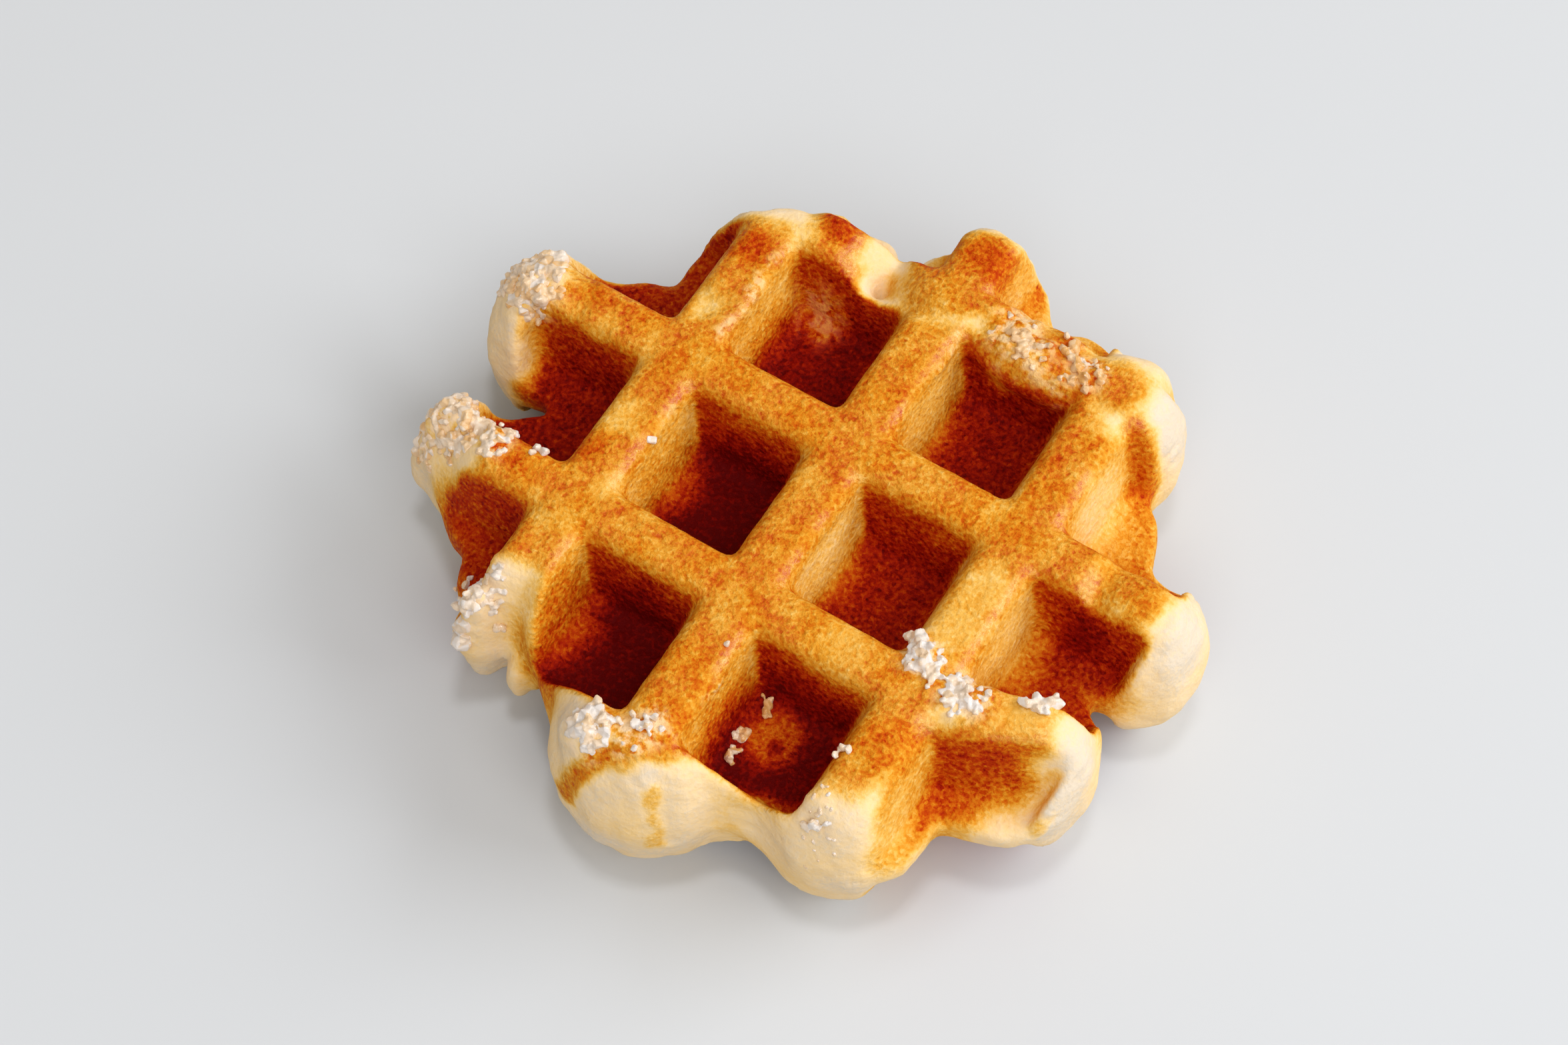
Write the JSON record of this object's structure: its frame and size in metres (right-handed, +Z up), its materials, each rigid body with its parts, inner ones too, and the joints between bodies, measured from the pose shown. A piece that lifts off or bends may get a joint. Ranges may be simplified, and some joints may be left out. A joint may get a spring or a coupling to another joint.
{
  "type": "liege waffle",
  "caption": "Thick round sweet waffle with the same square grid of ridges and deep pockets on both faces, rounded pale dough lobes at the rim and grains of pearl sugar fused on.",
  "frame": {"origin": "centre of the bounding box in plan, at the flat tops of the lower ridges that the waffle lies on", "axes": "+Z up through the thickness, +X along the B ridges, which is the waffle's longest side, +Y along the A ridges"},
  "size_m": [0.0972, 0.0896, 0.0271],
  "materials": {
    "crust": "baked dough, golden brown on the ridges, dark brown in the pockets and pale cream at the free rim, slightly glossy from caramelised sugar",
    "sugar": "pearl sugar, translucent white grains, half melted"
  },
  "bodies": {
    "root": {"waffle": "crust"}
  },
  "joints": []
}
